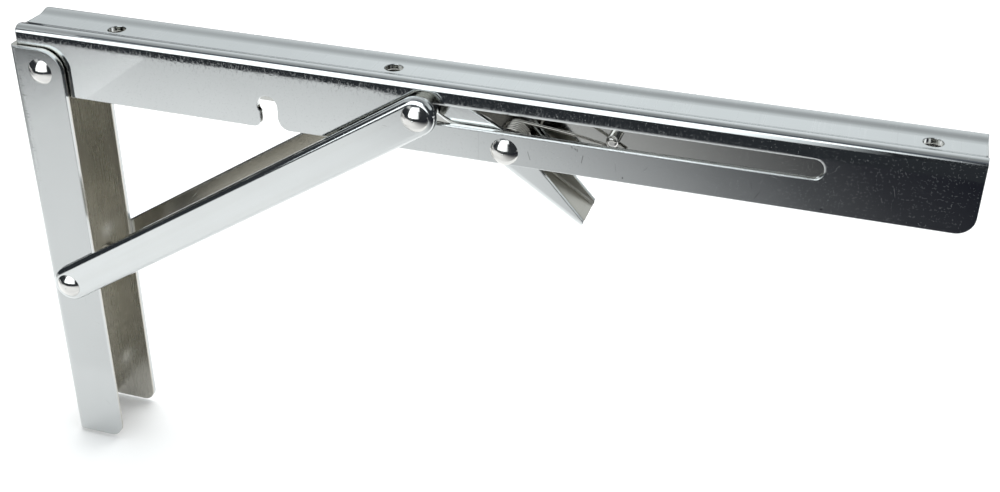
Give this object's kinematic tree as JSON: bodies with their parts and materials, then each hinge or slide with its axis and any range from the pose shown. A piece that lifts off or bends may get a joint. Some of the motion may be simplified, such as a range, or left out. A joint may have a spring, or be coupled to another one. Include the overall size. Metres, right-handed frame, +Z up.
{
  "type": "drop leaf table bracket",
  "caption": "Folding stainless steel table bracket: a wall leg, a hinged table rail, sliding brace bars and a sprung release lever that locks them.",
  "frame": {"origin": "middle wall screw hole, on the wall face of the leg", "axes": "+X from the wall to the table's edge along the rail, +Y across the bracket, +Z up"},
  "size_m": [0.3071, 0.036, 0.164],
  "materials": {
    "stainless_sheet": "bright polished stainless sheet with fine draw lines",
    "stainless_pins": "polished stainless rivets, studs and washers",
    "spring_wire": "drawn spring wire"
  },
  "bodies": {
    "leg": {"wall_leg": "stainless_sheet", "hinge_rivet_near": "stainless_pins", "hinge_rivet_far": "stainless_pins", "brace_rivet_near": "stainless_pins", "brace_rivet_far": "stainless_pins"},
    "rail": {"table_rail": "stainless_sheet", "lever_rivet": "stainless_pins", "lever_sleeve": "stainless_pins", "lever_washer_near": "stainless_pins", "lever_washer_far": "stainless_pins", "spring_post": "stainless_pins", "lever_spring": "spring_wire"},
    "slider": {"slide_stud_near": "stainless_pins", "slide_stud_far": "stainless_pins", "slide_keeper_near": "stainless_pins", "slide_keeper_far": "stainless_pins"},
    "brace": {"brace_bar_near": "stainless_sheet", "brace_bar_far": "stainless_sheet", "slide_rivet_near": "stainless_pins", "slide_rivet_far": "stainless_pins"},
    "lever": {"release_lever": "stainless_sheet"}
  },
  "joints": [
    {"name": "rail_fold", "type": "hinge", "parent": "leg", "child": "rail", "pos_m": [0.011, 0, 0.081], "axis": [0, 1, 0], "range_deg": [0, 90]},
    {"name": "slide_run", "type": "slide", "parent": "rail", "child": "slider", "axis": [1, 0, 0], "range_m": [0, 0.1085]},
    {"name": "brace_swing", "type": "hinge", "parent": "leg", "child": "brace", "pos_m": [0.0096, 0, -0.0007], "axis": [0, 1, 0], "range_deg": [0, 120.6]},
    {"name": "lever_release", "type": "hinge", "parent": "rail", "child": "lever", "pos_m": [0.1705, 0, 0.07628], "axis": [0, -1, 0], "range_deg": [0, 25], "stiffness_Nm_per_rad": 0.2, "springref_deg": -17.19, "deforming": ["lever_spring"]}
  ],
  "couplings": [
    {"joint": "slide_run", "follows": "rail_fold", "m_per_rad": 0.068956},
    {"joint": "brace_swing", "follows": "rail_fold", "ratio": 1.3399}
  ]
}
